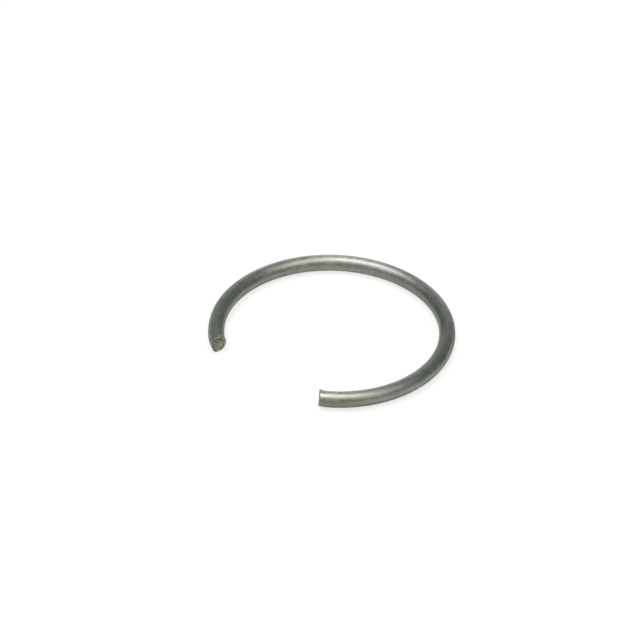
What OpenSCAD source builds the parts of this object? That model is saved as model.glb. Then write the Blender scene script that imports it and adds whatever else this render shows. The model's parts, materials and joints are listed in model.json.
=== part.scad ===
// Retaining ring of round wire: one open turn of hard-drawn spring wire, cropped at both ends.
// It springs into a round-bottomed groove in a bore and carries axial load on its outer flank.
//
// The ring lies in the XY plane with its axis on Z. The crown, the middle of the wire, is on +Y,
// and the gap between the two cropped ends is centred on -Y. Z = 0 is the middle of the wire.

/* [Wire] */
// Diameter of the drawn wire
wire_d = 1; // [0.7:0.05:2]

/* [Ring] */
// Outside diameter of the free ring, the mean of its two arms
free_od = 15; // [12:0.1:40]
// How much wider the left arm is coiled, and how much tighter the right one, than the mean radius
arm_set = 0.15; // [0:0.01:0.3]
// Angle that stays open between the two cropped ends
gap_angle = 70; // [30:1:120]

/* [Cropped ends] */
// Lean of the left arm's sheared face, positive where it leaves the outer side longer
left_crop_lean = 8; // [-10:0.5:10]
// Lean of the right arm's sheared face, positive where it leaves the outer side longer
right_crop_lean = -5; // [-10:0.5:10]
// Depth at the sheared face of the flat that the blade has pressed on the outer side
flat_depth = 0.1; // [0.05:0.01:0.2]
// Slope of that flat, down to its full depth at the sheared face
flat_slope = 12; // [6:1:25]
// Turn of that flat about the wire, from the outer side down towards the seat
flat_turn = 15; // [0:1:40]
// Height of the swelling that the blade has pushed up on the inner side
swell_height = 0.04; // [0.02:0.01:0.1]
// Distance from the sheared face back to the fullest part of that swelling
swell_back = 0.1; // [0.05:0.01:0.2]

/* [Hidden] */

$fn = 96;

wire_r = wire_d / 2;
ring_r = free_od / 2 - wire_r;
left_arm_r = ring_r + arm_set;
right_arm_r = ring_r - arm_set;
arm_angle = (360 - gap_angle) / 2;

// Wire left past the sheared face before the crop takes it off, and the reach of the cutting solids
stub_angle = atan(wire_d / ring_r);
cut_reach = 3 * wire_d;

// The section's start is turned to the plain upper flank, clear of the flat and of the swelling
section_turn = 60;

// Places its children at an arm's tip: +X is the outer side, +Y runs out of the wire's end
module at_tip(arm_r) {
    rotate([0, 0, arm_angle])
        translate([arm_r, 0, 0])
            children();
}

// Half of the coiled wire, from the crown on +X anticlockwise to a stub past the tip
module coiled_wire(arm_r) {
    rotate_extrude(angle = arm_angle + stub_angle)
        translate([arm_r, 0])
            rotate(section_turn)
                circle(d = wire_d);
}

// The wire pushed up on its inner side, just behind the sheared face
module swelling() {
    translate([-swell_height, -swell_back, 0])
        rotate([90, 0, 0])
            sphere(d = wire_d);
}

// Everything past the sheared face
module crop_cut(lean) {
    rotate([0, 0, lean])
        translate([-cut_reach, 0, -cut_reach])
            cube([2 * cut_reach, cut_reach, 2 * cut_reach]);
}

// Everything outside the flat on the wire's outer side
module flat_cut() {
    rotate([0, flat_turn, 0])
        translate([wire_r - flat_depth, 0, 0])
            rotate([0, 0, flat_slope])
                translate([0, -cut_reach, -cut_reach])
                    cube([cut_reach, 2 * cut_reach, 2 * cut_reach]);
}

// One arm of the ring, from the crown on +X anticlockwise to its cropped tip
module arm(arm_r, lean) {
    difference() {
        union() {
            coiled_wire(arm_r);
            at_tip(arm_r)
                swelling();
        }
        at_tip(arm_r)
            crop_cut(lean);
        at_tip(arm_r)
            flat_cut();
    }
}

// Both arms share the crown's section and are tangent there, each about its own centre
module ring() {
    color("dimgray")
        union() {
            translate([0, ring_r - left_arm_r, 0])
                rotate([0, 0, 90])
                    arm(left_arm_r, left_crop_lean);
            translate([0, ring_r - right_arm_r, 0])
                mirror([1, 0, 0])
                    rotate([0, 0, 90])
                        arm(right_arm_r, right_crop_lean);
        }
}

ring();
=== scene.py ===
import json
import math

import bpy
from mathutils import Matrix, Vector


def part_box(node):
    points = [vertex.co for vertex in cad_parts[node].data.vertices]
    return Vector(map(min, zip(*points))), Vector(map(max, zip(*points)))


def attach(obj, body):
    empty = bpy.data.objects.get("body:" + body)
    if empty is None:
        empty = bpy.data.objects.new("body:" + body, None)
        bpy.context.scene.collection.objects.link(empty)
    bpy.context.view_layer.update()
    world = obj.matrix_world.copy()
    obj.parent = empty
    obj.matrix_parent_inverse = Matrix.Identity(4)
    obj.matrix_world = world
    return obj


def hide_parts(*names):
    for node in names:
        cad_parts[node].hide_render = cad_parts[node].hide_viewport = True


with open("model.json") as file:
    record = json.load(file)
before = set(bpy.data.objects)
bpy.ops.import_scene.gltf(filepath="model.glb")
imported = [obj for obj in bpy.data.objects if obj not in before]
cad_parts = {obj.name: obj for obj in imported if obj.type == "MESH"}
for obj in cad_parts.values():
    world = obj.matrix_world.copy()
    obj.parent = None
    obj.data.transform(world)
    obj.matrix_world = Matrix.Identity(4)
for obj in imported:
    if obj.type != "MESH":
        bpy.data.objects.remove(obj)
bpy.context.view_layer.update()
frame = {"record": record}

MM = 0.001
FULL_TURN = 2 * math.pi
RIGHT_ANGLE = math.pi / 2

# The wire and the coil, from the frame
ring_low, ring_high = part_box("ring")
wire_radius = (ring_high.z - ring_low.z) / 2
left_arm_radius = -ring_low.x - wire_radius
right_arm_radius = ring_high.x - wire_radius
crown_out = ring_high.y - wire_radius

# Rows of the wire's mesh on one arm: on the plain coil, at its tip, over the sheared edge and on the face
COIL_ROWS = 220
TIP_ROWS = 64
EDGE_ROWS = 12
FACE_ROWS = 44
SIDES = 96

# Rows of the face that the lip and the burr take up
FIN_ROWS = 5

# How far back from the sheared face the cropping tool has marked the wire
TIP_LENGTH = 0.9 * MM

# Points of the mesh that are nearer than this are one point, along its seam and in the middle of each face
SAME_POINT = 0.0001 * MM

# Where the marks of each end are about the wire, in degrees up from its outer side
LEFT_ROUNDING_AT = 165
LEFT_LIP_AT = -50
RIGHT_TAPER_AT = -55
RIGHT_BARB_AT = 127
RIGHT_BURRS_AT = (110, -60)

# The share of the face that its drawn rim takes in from outside, and what the lip adds to it
RIM_SHARE = 0.03
LIP_SHARE = 0.1


class Socket:
    """One output of a node. A sum that is written on it adds its Math nodes."""

    def __init__(self, graph, output):
        self.graph = graph
        self.output = output

    def other(self, name):
        """Another output of the same node."""
        return Socket(self.graph, self.output.node.outputs[name])

    def maths(self, operation, *more, first=None, clamp=False):
        values = [self, *more] if first is None else [first, self]
        settings = {"operation": operation, "use_clamp": clamp}
        return self.graph.node("ShaderNodeMath", settings, dict(enumerate(values)))

    def __add__(self, value):
        return self.maths("ADD", value)

    def __radd__(self, value):
        return self.maths("ADD", value)

    def __sub__(self, value):
        return self.maths("SUBTRACT", value)

    def __rsub__(self, value):
        return self.maths("SUBTRACT", first=value)

    def __mul__(self, value):
        return self.maths("MULTIPLY", value)

    def __rmul__(self, value):
        return self.maths("MULTIPLY", value)

    def __truediv__(self, value):
        return self.maths("DIVIDE", value)

    def __pow__(self, value):
        return self.maths("POWER", value)

    def __neg__(self):
        return self.maths("MULTIPLY", -1)

    def sine(self):
        return self.maths("SINE")

    def cosine(self):
        return self.maths("COSINE")

    def tangent(self):
        return self.maths("TANGENT")

    def positive(self):
        """The value where it is above 0, and 0 elsewhere."""
        return self.maths("MAXIMUM", 0)

    def share(self):
        """The value, held between 0 and 1."""
        return self.maths("ADD", 0, clamp=True)

    def eased(self):
        """The value, held between 0 and 1, with a soft start and end."""
        held = self.share()
        return held * held * (3 - 2 * held)

    def bell(self, middle, width):
        """1 where the value is at the middle, falling to nothing over the width on either side."""
        off = (self - middle) / width
        return (-(off * off)).maths("EXPONENT")


class Graph:
    """A node tree that is written as expressions."""

    def __init__(self, tree):
        self.tree = tree

    def node(self, kind, settings=None, inputs=None, output=0):
        """Adds a node, sets it, fills its sockets with values or links, and returns one of its outputs."""
        made = self.tree.nodes.new(kind)
        for name, value in (settings or {}).items():
            setattr(made, name, value)
        for name, value in (inputs or {}).items():
            self.fill(made.inputs[name], value)
        return Socket(self, made.outputs[output]) if made.outputs else made

    def fill(self, socket, value):
        if isinstance(value, Socket):
            self.tree.links.new(value.output, socket)
        else:
            socket.default_value = value

    def vector(self, x, y, z):
        return self.node("ShaderNodeCombineXYZ", {}, {0: x, 1: y, 2: z})

    def stretched(self, vector, x, y, z):
        """The vector with each of its parts multiplied."""
        return self.node("ShaderNodeVectorMath", {"operation": "MULTIPLY"}, {0: vector, 1: (x, y, z)})

    def lobe(self, turn, degrees, sharpness):
        """1 where a turn about the wire is at an angle, falling to nothing on both sides of it."""
        return (turn - math.radians(degrees)).cosine().positive() ** sharpness

    def noise(self, vector, scale, detail=2.0, roughness=0.5, seed=0.0):
        """Smooth noise about 0.5 on a vector, taken from its own slice of the noise for each seed."""
        inputs = {"Vector": vector, "W": seed, "Scale": scale, "Detail": detail, "Roughness": roughness}
        return self.node("ShaderNodeTexNoise", {"noise_dimensions": "4D"}, inputs)


def mount_of(name):
    """Where a mount is, and which way it faces, in the record."""
    mount = next(m for m in frame["record"]["mounts"] if m["name"] == name)
    return Vector(mount["pos_m"]), Vector(mount["axis"])


def crop_of(mount_name, arm_radius, side):
    """The angle that an arm turns through from the crown to its tip, and the lean of its sheared face."""
    tip, facing = mount_of(mount_name)
    turned = math.atan2(-side * tip.x, tip.y - (crown_out - arm_radius))
    straight = Vector((-side * math.cos(turned), -math.sin(turned)))
    outward = Vector((-side * math.sin(turned), math.cos(turned)))
    return turned, math.atan2(-facing.xy.dot(outward), facing.xy.dot(straight))


arm_angle, left_lean = crop_of("left_end", left_arm_radius, 1)
right_lean = crop_of("right_end", right_arm_radius, -1)[1]

# What the wire's node tree is told, in metres and radians
COIL_SIZES = {
    "Wire radius": wire_radius,
    "Left arm radius": left_arm_radius,
    "Right arm radius": right_arm_radius,
    "Crown radius": crown_out,
    "Arm angle": arm_angle,
    "Left lean": left_lean,
    "Right lean": right_lean,
    "Edge radius": 0.018 * MM,
    "Roll-over": 1.6,
    "Left rounding": 0.115 * MM,
    "Right rounding": 0.05 * MM,
    "Flat depth": 0.1 * MM,
    "Flat slope": math.radians(12),
    "Flat turn": math.radians(15),
    "Flat softness": 0.05 * MM,
    "Swelling": 0.05 * MM,
    "Swelling back": 0.08 * MM,
    "Swelling spread": 0.2 * MM,
    "Swelling turn": math.radians(25),
    "Burr": 0.03 * MM,
    "Left lip": 0.12 * MM,
    "Right barb": 0.1 * MM,
    "Barb spread": 0.055 * MM,
    "Right taper": 0.055 * MM,
    "Taper length": 0.35 * MM,
    "Face slope": math.radians(3.5),
    "Face recess": 0.03 * MM,
    "Fracture depth": 0.035 * MM,
    "Waviness": 0.004,
    "Seed": 4.0,
}


def coiled_wire_tree(drawn, sheared):
    """The ring as a rule: a flat grid, with rows along the wire and sides round it, rolled up and bent."""
    tree = bpy.data.node_groups.new("coiled wire", "GeometryNodeTree")
    tree.interface.new_socket(name="Wire", in_out="OUTPUT", socket_type="NodeSocketGeometry")
    for name in COIL_SIZES:
        tree.interface.new_socket(name=name, in_out="INPUT", socket_type="NodeSocketFloat")
    graph = Graph(tree)
    given = graph.node("NodeGroupInput")
    size = {name: given.other(name) for name in COIL_SIZES}
    radius = size["Wire radius"]

    rows = COIL_ROWS + TIP_ROWS + EDGE_ROWS + FACE_ROWS
    grid_size = {"Size X": 2.0, "Size Y": 1.0, "Vertices X": 2 * rows + 1, "Vertices Y": SIDES + 1}
    grid = graph.node("GeometryNodeMeshGrid", {}, grid_size)
    along = graph.node("ShaderNodeSeparateXYZ", {}, {0: graph.node("GeometryNodeInputPosition")})
    turn = (along.other("Y") + 0.25) * FULL_TURN

    # Where the row is: on the coil, at the tip, over the edge or on the face
    row = along.maths("ABSOLUTE") * rows
    left = along.maths("GREATER_THAN", 0)
    side = left * 2 - 1
    coil = (row / COIL_ROWS).share()
    tip = ((row - COIL_ROWS) / TIP_ROWS).share()
    edge = ((row - COIL_ROWS - TIP_ROWS) / EDGE_ROWS).share()
    face = ((row - COIL_ROWS - TIP_ROWS - EDGE_ROWS) / FACE_ROWS).share()

    # How far back the row is from the sheared face, and how much of the wire's section it has left
    arm_radius = size["Right arm radius"] + left * (size["Left arm radius"] - size["Right arm radius"])
    arm_length = arm_radius * size["Arm angle"]
    blade_side = (turn + size["Flat turn"]).cosine().positive()
    edge_radius = size["Edge radius"] * (1 + size["Roll-over"] * blade_side)
    round_about = graph.vector(turn.cosine(), turn.sine(), side)
    uneven = 0.6 + 0.8 * graph.noise(round_about, 1.6, detail=2.0, seed=size["Seed"] + 3)
    rounding = left * size["Left rounding"] * graph.lobe(turn, LEFT_ROUNDING_AT, 1.5)
    rounding = rounding + (1 - left) * size["Right rounding"]
    edge_radius = edge_radius + rounding * uneven
    over_edge = edge * RIGHT_ANGLE
    back = (arm_length - TIP_LENGTH) * (1 - coil) + (TIP_LENGTH - edge_radius) * (1 - tip)
    back = back + edge_radius * (1 - over_edge.sine())
    section = (1 - edge_radius / radius * (1 - over_edge.cosine())) * (1 - face)

    # Wire is never quite round or straight
    rolled = graph.vector(side * (arm_length - back), radius * turn.cosine(), radius * turn.sine())
    in_mm = graph.stretched(rolled, 1 / MM, 1 / MM, 1 / MM)
    wavy = graph.noise(graph.stretched(in_mm, 0.55, 1.3, 1.3), 1.0, detail=2.0, seed=size["Seed"]) - 0.5

    # The right tip is a little finer on one side, and the blade has drawn out a barb on the other
    taper = size["Right taper"] * (1 - left) * graph.lobe(turn, RIGHT_TAPER_AT, 3)
    taper = taper * (-back / size["Taper length"]).maths("EXPONENT")
    barb = size["Right barb"] * (1 - left) * graph.lobe(turn, RIGHT_BARB_AT, 150)
    barb = barb * back.bell(0, size["Barb spread"])
    reach = (radius * (1 + size["Waviness"] * wavy) - taper + barb) * section
    out = reach * turn.cosine()
    rise = reach * turn.sine()

    # The wire that the blade has pushed up on the inner side
    swell_at = back.bell(size["Swelling back"], size["Swelling spread"])
    swell_turn = size["Swelling turn"]
    inner_side = (-(turn + swell_turn).cosine()).positive()
    push = size["Swelling"] * swell_at * inner_side * inner_side * section
    out = out - push * swell_turn.cosine()
    rise = rise + push * swell_turn.sine()

    # The flat that it has pressed on the outer side
    flat_turn = size["Flat turn"]
    across = out * flat_turn.cosine() - rise * flat_turn.sine()
    limit = radius - size["Flat depth"] + back * size["Flat slope"].tangent()
    pressed = across.maths("SMOOTH_MIN", limit, size["Flat softness"]) - across
    out = out + pressed * flat_turn.cosine()
    rise = rise - pressed * flat_turn.sine()

    # The lean of the face, its torn relief, and the lip or the burr at its edge
    lean = size["Right lean"] + left * (size["Left lean"] - size["Right lean"])
    slant = out * lean.tangent() - rise * size["Face slope"].tangent()
    forward = slant * (1 - back / TIP_LENGTH).eased()
    on_face = graph.stretched(graph.vector(out, rise, side * radius), 1 / MM, 1 / MM, 1 / MM)
    torn = graph.noise(on_face, 5.0, detail=5.0, roughness=0.62, seed=size["Seed"]) - 0.5
    inner_half = (0.5 - out / radius * 1.6).eased()
    sunk = size["Fracture depth"] * (torn - 0.4 * inner_half) - size["Face recess"]
    forward = forward + sunk * (face * 7).share()
    ragged = graph.noise(on_face, 9.0, detail=3.0, seed=size["Seed"] + 7).positive()
    fin = (1 - face * FACE_ROWS / FIN_ROWS).positive() * edge * edge
    lip_side = graph.lobe(turn, LEFT_LIP_AT, 2.5)
    top_burr, low_burr = (graph.lobe(turn, degrees, 2) for degrees in RIGHT_BURRS_AT)
    burr = size["Burr"] * (top_burr + low_burr)
    lip = size["Left lip"] * left * lip_side + burr * (1 - left)
    forward = forward + lip * fin * (0.55 + 0.9 * ragged)

    # Bent into the coil
    angle = (arm_length - back) / arm_radius
    from_centre = arm_radius + out
    x = -side * (angle.sine() * from_centre + angle.cosine() * forward)
    y = size["Crown radius"] - arm_radius + angle.cosine() * from_centre - angle.sine() * forward
    position = graph.vector(x, y, rise)

    def keep(wire, name, kind, value, domain="POINT"):
        """The wire with a value kept on it for its materials."""
        settings = {"data_type": kind, "domain": domain}
        inputs = {"Geometry": wire, "Name": name, "Value": value}
        return graph.node("GeometryNodeStoreNamedAttribute", settings, inputs)

    unrolled = graph.vector(side * (arm_length - back) / (radius * FULL_TURN), along.other("Y") + 0.5, 0.0)
    wire = keep(grid, "wire_uv", "FLOAT2", unrolled, "CORNER")
    wire = keep(wire, "wire_place", "FLOAT_VECTOR", in_mm)
    wire = keep(wire, "from_face", "FLOAT", back / MM)
    wire = keep(wire, "on_face", "FLOAT", face)
    wire = keep(wire, "torn", "FLOAT", face - RIM_SHARE - LIP_SHARE * left * lip_side)
    wire = graph.node("GeometryNodeSetPosition", {}, {"Geometry": wire, "Position": position})
    wire = graph.node("GeometryNodeMergeByDistance", {}, {"Geometry": wire, "Distance": SAME_POINT})
    wire = graph.node("GeometryNodeSetShadeSmooth", {}, {"Geometry": wire})
    wire = graph.node("GeometryNodeRealizeInstances", {}, {"Geometry": wire})
    wire = graph.node("GeometryNodeSetMaterial", {}, {"Geometry": wire, "Material": drawn})
    torn_share = graph.node("GeometryNodeInputNamedAttribute", {"data_type": "FLOAT"}, {"Name": "torn"})
    torn_part = {"Geometry": wire, "Selection": torn_share.maths("GREATER_THAN", 0), "Material": sheared}
    wire = graph.node("GeometryNodeSetMaterial", {}, torn_part)
    graph.node("NodeGroupOutput", {}, {"Wire": wire})
    return tree


def coiled_wire(drawn, sheared):
    """The wire as one plain closed mesh, made by its node tree."""
    maker = bpy.data.objects.new("wire_maker", bpy.data.meshes.new("wire_maker"))
    bpy.context.scene.collection.objects.link(maker)
    modifier = maker.modifiers.new("coiled wire", "NODES")
    modifier.node_group = coiled_wire_tree(drawn, sheared)
    for item in modifier.node_group.interface.items_tree:
        if item.in_out == "INPUT":
            modifier[item.identifier] = COIL_SIZES[item.name]
    bpy.context.view_layer.update()
    shaped = maker.evaluated_get(bpy.context.evaluated_depsgraph_get())
    mesh = bpy.data.meshes.new_from_object(shaped)
    mesh.name = "spring_wire"

    # The grid's own empty place for a material
    if mesh.materials[0] is None:
        mesh.materials.pop(index=0)
    maker.modifiers.remove(modifier)
    bpy.data.objects.remove(maker)
    wire = bpy.data.objects.new("spring_wire", mesh)
    bpy.context.scene.collection.objects.link(wire)
    return wire


def new_finish(name):
    """An empty material, its graph and the function that ends it with one Principled shader."""
    material = bpy.data.materials.new(name)
    material.use_nodes = True
    material.node_tree.nodes.clear()
    graph = Graph(material.node_tree)

    def end(**sockets):
        inputs = {key.replace("_", " "): value for key, value in sockets.items()}
        shader = graph.node("ShaderNodeBsdfPrincipled", {}, inputs)
        graph.node("ShaderNodeOutputMaterial", {}, {"Surface": shader})
        return material

    return graph, end


def colour(red, green, blue):
    return (red, green, blue, 1.0)


def blended(graph, factor, one, two, mode="MIX"):
    """Two colours mixed by a factor."""
    settings = {"data_type": "RGBA", "blend_type": mode, "clamp_factor": True}
    return graph.node("ShaderNodeMix", settings, {"Factor": factor, 6: one, 7: two}, output=2)


def grey(graph, value):
    """A value as a colour, to darken or lighten another."""
    return graph.node("ShaderNodeCombineColor", {}, {0: value, 1: value, 2: value})


# The clean metal and its olive bands, and the torn metal where it sheared and where it broke last
STEEL_GREY = colour(0.319, 0.320, 0.299)
STEEL_OLIVE = colour(0.262, 0.266, 0.243)
TORN_OLIVE = colour(0.235, 0.235, 0.168)
TORN_PALE = colour(0.36, 0.335, 0.285)

# Stretches of the wire, in millimetres to the left of the crown, and how far each one spreads: one smoother
# with painted extra light, one a little rougher with painted shade
LIT_STRETCH_AT = 6.2
LIT_STRETCH_SPREAD = 4.5
SHADED_STRETCH_AT = -17
SHADED_STRETCH_SPREAD = 5

# How far back from each face the blade has burnished the wire and a paler rim is painted, in millimetres
PALE_RIM_SPREAD = 0.06


def drawn_steel():
    """Hard-drawn spring steel: dark satin grey with an olive tint, die lines along it and a dull mottle."""
    graph, end = new_finish("drawn_spring_steel")
    place = graph.node("ShaderNodeAttribute", {"attribute_name": "wire_place"}, output="Vector")
    from_face = graph.node("ShaderNodeAttribute", {"attribute_name": "from_face"}, output="Fac")

    bands = graph.noise(graph.stretched(place, 0.16, 2.6, 2.6), 1.0, detail=3.0, seed=1)
    lines = graph.noise(graph.stretched(place, 0.5, 9.0, 9.0), 1.0, detail=3.0, roughness=0.6, seed=2)
    hairs = graph.noise(graph.stretched(place, 1.3, 30.0, 30.0), 1.0, detail=2.0, seed=3)
    mottle = graph.noise(place, 3.2, detail=4.0, roughness=0.6, seed=4)

    # Smoother with a painted brighter highlight left of the crown, a little rougher with painted shade near
    # the right tip
    distance_left = graph.node("ShaderNodeSeparateXYZ", {}, {0: place})
    smoother_lit_stretch = distance_left.bell(LIT_STRETCH_AT, LIT_STRETCH_SPREAD)
    rougher_shaded_stretch = distance_left.bell(SHADED_STRETCH_AT, SHADED_STRETCH_SPREAD)

    # Burnished by the blade beside each face, most on the right arm, with a painted paler reflection at the
    # rounded edge
    on_right_arm = distance_left.maths("LESS_THAN", 0)
    burnished_pale_rim = from_face.bell(0.0, PALE_RIM_SPREAD) * (0.1 + 0.4 * on_right_arm)

    olive = ((bands - 0.42) * 5).eased()
    steel = blended(graph, olive, STEEL_GREY, STEEL_OLIVE)
    tone_marks = 1 + (lines - 0.5) * 0.8 + (mottle - 0.5) * 0.8 + (hairs - 0.5) * 0.5
    # Base colour lifted by painted light left of the crown and lowered by painted shade near the right tip
    shade = tone_marks * (1 + burnished_pale_rim + 0.05 * smoother_lit_stretch - 0.08 * rougher_shaded_stretch)
    tinted = blended(graph, 1.0, steel, grey(graph, shade), mode="MULTIPLY")

    roughness = 0.34 + (mottle - 0.5) * 0.34 + (bands - 0.5) * 0.2
    roughness = roughness + burnished_pale_rim * 0.2 + rougher_shaded_stretch * 0.01 - smoother_lit_stretch * 0.025
    height = (lines - 0.5) * 1.0 + (hairs - 0.5) * 0.4 + (mottle - 0.5) * 1.7
    bump = graph.node("ShaderNodeBump", {}, {"Strength": 1.0, "Distance": 0.003 * MM, "Height": height})
    return end(
        Base_Color=tinted,
        Metallic=1.0,
        Roughness=roughness,
        Anisotropic=0.83,
        Anisotropic_Rotation=0.25,
        Specular_Tint=colour(0.7, 0.7, 0.7),
        Normal=bump,
    )


def sheared_steel():
    """The torn face of a cropped end: rough, olive brown, paler where it broke last."""
    graph, end = new_finish("sheared_steel")
    place = graph.node("ShaderNodeTexCoord", output="Object")
    in_mm = graph.stretched(place, 1 / MM, 1 / MM, 1 / MM)
    patches = graph.noise(in_mm, 3.0, detail=3.0, seed=5)
    grain = graph.noise(in_mm, 16.0, detail=4.0, roughness=0.65, seed=6)

    # Where on the face, in millimetres towards the outer side and up
    round_place = graph.node("ShaderNodeAttribute", {"attribute_name": "wire_place"}, output="Vector")
    parts = graph.node("ShaderNodeSeparateXYZ", {}, {0: round_place})
    inward = graph.node("ShaderNodeAttribute", {"attribute_name": "on_face"}, output="Fac")
    outer = parts.other("Y") * (1 - inward)
    upper = parts.other("Z") * (1 - inward)
    broken_last = ((patches - 0.5) * 3.5 - outer * 1.6 - upper * 1.8 + 0.35).eased()
    tone = blended(graph, broken_last, TORN_OLIVE, TORN_PALE)
    blotches = graph.noise(in_mm, 7.0, detail=2.0, seed=8)
    # Painted shade in the recess under the face's top edge and at its lower outer corner, where the lip's
    # shadow falls
    top_edge = ((upper - 0.12) * 5).share()
    lower_edge = ((-upper - outer - 0.38) * 6).share()
    painted_recess_shade = inward.bell(0.15, 0.13) * (0.6 * top_edge + 0.45 * lower_edge)
    # Grain and blotches of the torn metal, darkened by the painted recess shade
    tone_marks = (0.3 + grain * 0.7 + blotches * 0.7) * (1 - painted_recess_shade)
    tone = blended(graph, 1.0, tone, grey(graph, tone_marks), mode="MULTIPLY")
    bump = graph.node("ShaderNodeBump", {}, {"Strength": 1.0, "Distance": 0.02 * MM, "Height": grain})
    return end(Base_Color=tone, Metallic=0.75, Roughness=0.45 + grain * 0.2, Normal=bump)


def white_table(level):
    """A wide table that shows white in view and pale in the metal, and keeps the ring's shadow."""
    half = 2.0
    corners = [(-half, -half, level), (half, -half, level), (half, half, level), (-half, half, level)]
    mesh = bpy.data.meshes.new("table")
    mesh.from_pydata(corners, [], [(0, 1, 2, 3)])
    table = bpy.data.objects.new("table", mesh)
    bpy.context.scene.collection.objects.link(table)

    material = bpy.data.materials.new("white_table")
    material.use_nodes = True
    material.node_tree.nodes.clear()
    graph = Graph(material.node_tree)
    in_view = graph.node("ShaderNodeLightPath", output="Is Camera Ray")
    in_metal = (in_view.other("Is Glossy Ray") + in_view.other("Is Transmission Ray")).share()
    plain = in_view * WHITE_IN_VIEW + in_metal * WHITE_IN_METAL
    matt = graph.node("ShaderNodeBsdfDiffuse", {}, {"Color": TABLE_COLOUR})
    white = graph.node("ShaderNodeEmission", {}, {"Color": colour(1, 1, 1), "Strength": TABLE_GLOW})
    mixed = graph.node("ShaderNodeMixShader", {}, {0: plain, 1: matt, 2: white})
    graph.node("ShaderNodeOutputMaterial", {}, {"Surface": mixed})
    mesh.materials.append(material)


def aimed(azimuth, elevation, roll, distance, target):
    """The place of a camera that looks at a target from an azimuth and elevation, in radians."""
    turned = Matrix.Rotation(azimuth, 4, "Z") @ Matrix.Rotation(RIGHT_ANGLE - elevation, 4, "X")
    back_off = Matrix.Translation((0, 0, distance))
    return Matrix.Translation(target) @ turned @ back_off @ Matrix.Rotation(roll, 4, "Z")


def towards(beside_camera, elevation):
    """The direction of an azimuth, in degrees to the right of the camera's, and an elevation."""
    azimuth = CAMERA_AZIMUTH + math.radians(beside_camera)
    level = math.cos(math.radians(elevation))
    return Vector((math.sin(azimuth) * level, -math.cos(azimuth) * level, math.sin(math.radians(elevation))))


def studio():
    """A dim pale room with soft diffusers overhead, in front and at the back wall."""
    world = bpy.data.worlds.new("studio")
    world.use_nodes = True
    world.node_tree.nodes.clear()
    graph = Graph(world.node_tree)
    direction = graph.node("ShaderNodeTexCoord", output="Generated")
    light = graph.node("ShaderNodeBackground", {}, {"Color": ROOM_COLOUR, "Strength": ROOM_LIGHT})
    for beside_camera, elevation, spread, brightness, tint in DIFFUSERS:
        facing = {0: direction, 1: towards(beside_camera, elevation)}
        off = 1 - graph.node("ShaderNodeVectorMath", {"operation": "DOT_PRODUCT"}, facing, output="Value")
        glow = brightness * (off * (-2 / math.radians(spread) ** 2)).maths("EXPONENT")
        diffuser = graph.node("ShaderNodeBackground", {}, {"Color": tint, "Strength": glow})
        light = graph.node("ShaderNodeAddShader", {}, {0: light, 1: diffuser})
    graph.node("ShaderNodeOutputWorld", {}, {"Surface": light})
    bpy.context.scene.world = world


# The photograph's camera: a long lens that looks down on the ring past its right arm
CAMERA_AZIMUTH = math.radians(42.65)
CAMERA_ELEVATION = math.radians(37.496)
CAMERA_ROLL = math.radians(1.707)
CAMERA_DISTANCE = 350.9 * MM
CAMERA_AIM = Vector((-1.421 * MM, 0.221 * MM, 0))
CAMERA_LENS = 320.4
SENSOR_WIDTH = 36.0

ROOM_LIGHT = 0.29
ROOM_COLOUR = colour(0.89, 1.0, 0.96)

# Each diffuser's azimuth beside the camera's, elevation and spread in degrees, its brightness and its colour:
# the main one overhead, one at the front right, two faint warm ones on the camera's side and the wall behind
DIFFUSERS = [
    (-100, 78.5, 18, 6.7, colour(1, 1, 1)),
    (54, 64, 20, 1.9, colour(1, 0.97, 0.84)),
    (0, 60, 18, 0.4, colour(1, 0.95, 0.7)),
    (0, 27, 26, 0.15, colour(1, 0.6, 0)),
    (180, 3, 21, 1.8, colour(0.96, 1, 1.03)),
]

# How much of the table is a plain white in view and in the metal, beside the light that falls on it
WHITE_IN_VIEW = 0.68
WHITE_IN_METAL = 0.2

# The colour of the table where light falls on it, and how brightly its plain white shows
TABLE_COLOUR = colour(0.75, 0.75, 0.75)
TABLE_GLOW = 1.1


def camera():
    view = bpy.data.cameras.new("camera")
    view.lens = CAMERA_LENS
    view.sensor_width = SENSOR_WIDTH
    holder = bpy.data.objects.new("camera", view)
    bpy.context.scene.collection.objects.link(holder)
    holder.matrix_world = aimed(CAMERA_AZIMUTH, CAMERA_ELEVATION, CAMERA_ROLL, CAMERA_DISTANCE, CAMERA_AIM)
    bpy.context.scene.camera = holder


bpy.context.scene.view_settings.view_transform = "Standard"
camera()
studio()
white_table(ring_low.z)

wire = coiled_wire(drawn_steel(), sheared_steel())
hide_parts("ring")
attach(wire, "root")
